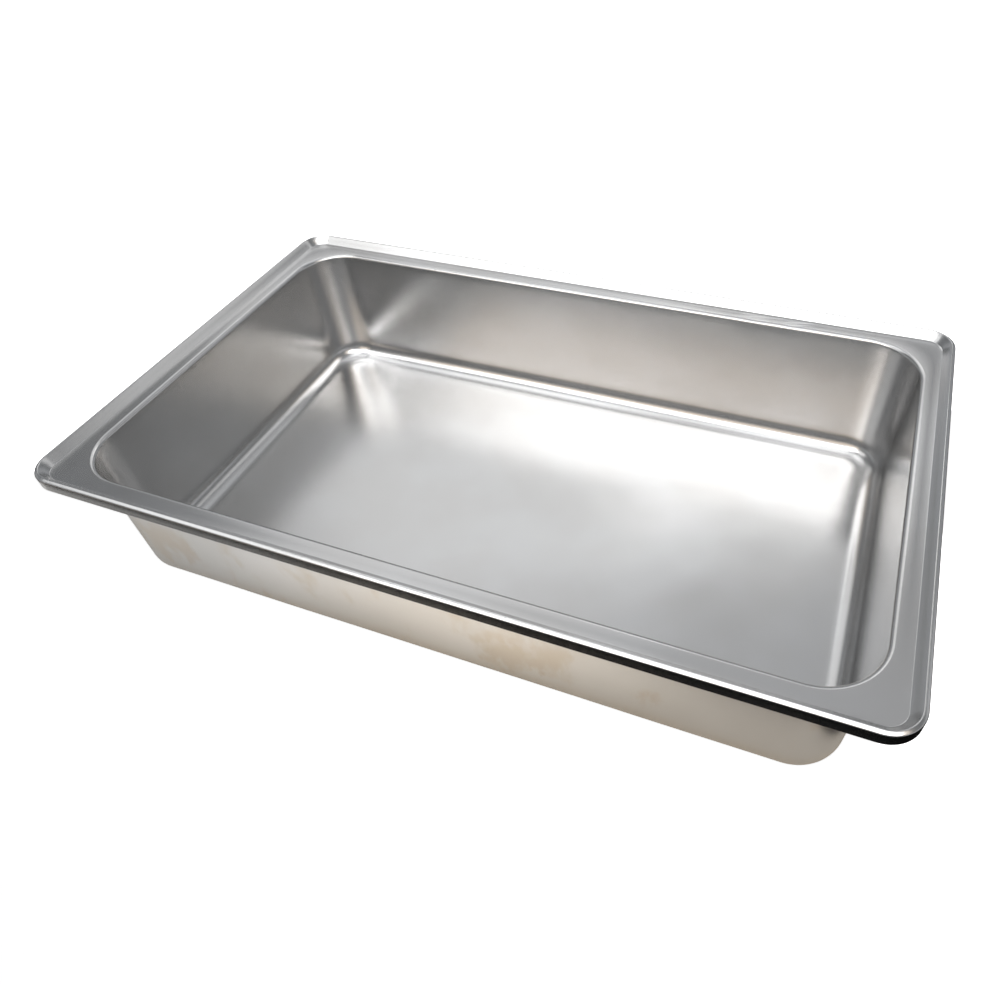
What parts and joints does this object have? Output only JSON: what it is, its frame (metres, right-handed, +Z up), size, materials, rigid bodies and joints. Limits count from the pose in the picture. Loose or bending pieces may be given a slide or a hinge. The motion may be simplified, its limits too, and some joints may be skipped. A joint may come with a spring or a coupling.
{
  "type": "food pan",
  "caption": "Full-size rectangular steel food pan with tapered walls, rounded corners, a flat flange and a raised bevelled bead round the rim; it stands on its floor or hangs by its rim.",
  "frame": {"origin": "middle of the underside of the floor", "axes": "+Z up, out of the open top; +X along the long side; +Y along the short side"},
  "size_m": [0.527, 0.324, 0.104],
  "materials": {
    "stainless": "satin stainless steel, drawn sheet, lightly used"
  },
  "bodies": {
    "root": {"pan": "stainless"}
  },
  "joints": []
}
